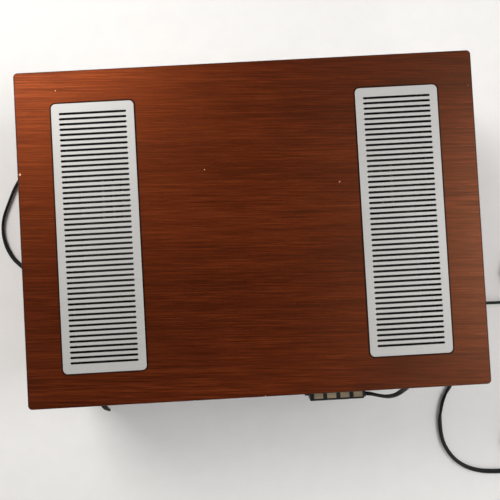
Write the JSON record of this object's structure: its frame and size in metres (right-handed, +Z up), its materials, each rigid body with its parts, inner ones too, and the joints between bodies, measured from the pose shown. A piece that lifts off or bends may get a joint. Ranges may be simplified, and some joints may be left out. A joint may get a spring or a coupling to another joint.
{
  "type": "integrated amplifier",
  "caption": "Wooden-cased stereo amplifier with two slotted top grilles, turning front knobs, push buttons, rear lever terminals and two black flexes with plugs.",
  "frame": {"origin": "on the floor under the middle of the amplifier, without its cords", "axes": "+Z up, the front with its knobs towards -Y, +X along the width"},
  "size_m": [0.7074, 0.4814, 0.1425],
  "materials": {
    "veneer": "satin reddish-brown veneer with fine grain from side to side",
    "grille_metal": "pale satin, fine",
    "brushed_front": "brushed",
    "zinc_steel": "zinc plated",
    "black_enamel": "satin black",
    "foot_rubber": "matt",
    "turned_aluminium": "turned, satin",
    "shaft_brass": "plain turned",
    "moulded_black": "moulded",
    "lever_cream": "moulded, a little aged",
    "lamp_lens": "clear red",
    "circuit_board": "brown laminate",
    "winding_tape": "varnished tape",
    "capacitor_sleeve": "shrunk sleeve",
    "flex_black": "smooth twin flex"
  },
  "bodies": {
    "chassis": {"wood_top": "veneer", "wood_side_left": "veneer", "wood_side_right": "veneer", "grille_left": "grille_metal", "grille_right": "grille_metal", "front_panel": "brushed_front", "chassis_tray": "zinc_steel", "transformer_core": "zinc_steel", "selector_switch": "zinc_steel", "bass_potentiometer": "zinc_steel", "treble_potentiometer": "zinc_steel", "balance_potentiometer": "zinc_steel", "volume_potentiometer": "zinc_steel", "transistor_left": "zinc_steel", "transistor_right": "zinc_steel", "rear_panel": "black_enamel", "heat_sink": "black_enamel", "foot_front_left": "foot_rubber", "foot_front_right": "foot_rubber", "foot_rear_left": "foot_rubber", "foot_rear_right": "foot_rubber", "mains_gland": "foot_rubber", "switch_bank": "moulded_black", "headphone_socket": "moulded_black", "terminal_block": "moulded_black", "fuse_holder": "moulded_black", "capacitor_base": "moulded_black", "mains_plug": "moulded_black", "speaker_plug": "moulded_black", "pilot_lamp": "lamp_lens", "phono_socket_board": "circuit_board", "output_amplifier_board": "circuit_board", "tone_control_board": "circuit_board", "transformer_winding": "winding_tape", "capacitor_left": "capacitor_sleeve", "capacitor_right": "capacitor_sleeve", "mains_cord": "flex_black", "mains_coil": "flex_black", "speaker_lead": "flex_black", "speaker_lead_coil": "flex_black"},
    "selector": {"selector_knob": "turned_aluminium", "selector_shaft": "shaft_brass"},
    "bass": {"bass_knob": "turned_aluminium", "bass_shaft": "shaft_brass"},
    "treble": {"treble_knob": "turned_aluminium", "treble_shaft": "shaft_brass"},
    "balance": {"balance_knob": "turned_aluminium", "balance_shaft": "shaft_brass"},
    "volume": {"volume_knob": "turned_aluminium", "volume_shaft": "shaft_brass"},
    "power_push": {"power_button": "turned_aluminium"},
    "mono_push": {"mono_button": "turned_aluminium"},
    "loudness_push": {"loudness_button": "turned_aluminium"},
    "filter_push": {"filter_button": "turned_aluminium"},
    "lever_1": {"terminal_lever_1": "lever_cream"},
    "lever_2": {"terminal_lever_2": "lever_cream"},
    "lever_3": {"terminal_lever_3": "lever_cream"},
    "lever_4": {"terminal_lever_4": "lever_cream"},
    "earth": {"earth_nut": "shaft_brass"},
    "fuse": {"fuse_cap": "moulded_black"}
  },
  "joints": [
    {"name": "selector_turn", "type": "hinge", "parent": "chassis", "child": "selector", "pos_m": [-0.14926, -0.1725, 0.08], "axis": [0, 1, 0], "range_deg": [-60, 60]},
    {"name": "bass_turn", "type": "hinge", "parent": "chassis", "child": "bass", "pos_m": [-0.07463, -0.1725, 0.08], "axis": [0, 1, 0], "range_deg": [-150, 150]},
    {"name": "treble_turn", "type": "hinge", "parent": "chassis", "child": "treble", "pos_m": [-0.0121, -0.1725, 0.08], "axis": [0, 1, 0], "range_deg": [-150, 150]},
    {"name": "balance_turn", "type": "hinge", "parent": "chassis", "child": "balance", "pos_m": [0.05042, -0.1725, 0.08], "axis": [0, 1, 0], "range_deg": [-150, 150]},
    {"name": "volume_turn", "type": "hinge", "parent": "chassis", "child": "volume", "pos_m": [0.13716, -0.1755, 0.08], "axis": [0, 1, 0], "range_deg": [-150, 150]},
    {"name": "power_press", "type": "slide", "parent": "chassis", "child": "power_push", "axis": [0, 1, 0], "range_m": [0, 0.0035], "stiffness_N_per_m": 300},
    {"name": "mono_press", "type": "slide", "parent": "chassis", "child": "mono_push", "axis": [0, 1, 0], "range_m": [0, 0.0035], "stiffness_N_per_m": 300},
    {"name": "loudness_press", "type": "slide", "parent": "chassis", "child": "loudness_push", "axis": [0, 1, 0], "range_m": [0, 0.0035], "stiffness_N_per_m": 300},
    {"name": "filter_press", "type": "slide", "parent": "chassis", "child": "filter_push", "axis": [0, 1, 0], "range_m": [0, 0.0035], "stiffness_N_per_m": 300},
    {"name": "lever_1_tip", "type": "hinge", "parent": "chassis", "child": "lever_1", "pos_m": [-0.09735, 0.1605, 0.1113], "axis": [-1, 0, 0], "range_deg": [0, 12], "stiffness_Nm_per_rad": 0.02, "springref_deg": -11.46},
    {"name": "lever_2_tip", "type": "hinge", "parent": "chassis", "child": "lever_2", "pos_m": [-0.08425, 0.1605, 0.1113], "axis": [-1, 0, 0], "range_deg": [0, 12], "stiffness_Nm_per_rad": 0.02, "springref_deg": -11.46},
    {"name": "lever_3_tip", "type": "hinge", "parent": "chassis", "child": "lever_3", "pos_m": [-0.07115, 0.1605, 0.1113], "axis": [-1, 0, 0], "range_deg": [0, 12], "stiffness_Nm_per_rad": 0.02, "springref_deg": -11.46},
    {"name": "lever_4_tip", "type": "hinge", "parent": "chassis", "child": "lever_4", "pos_m": [-0.05805, 0.1605, 0.1113], "axis": [-1, 0, 0], "range_deg": [0, 12], "stiffness_Nm_per_rad": 0.02, "springref_deg": -11.46},
    {"name": "earth_nut_turn", "type": "hinge", "parent": "chassis", "child": "earth", "pos_m": [0.004, 0.1533, 0.062], "axis": [0, 1, 0], "range_deg": [0, 720]},
    {"name": "fuse_cap_turn", "type": "hinge", "parent": "chassis", "child": "fuse", "pos_m": [0.142, 0.1566, 0.045], "axis": [0, 1, 0], "range_deg": [0, 45]}
  ]
}
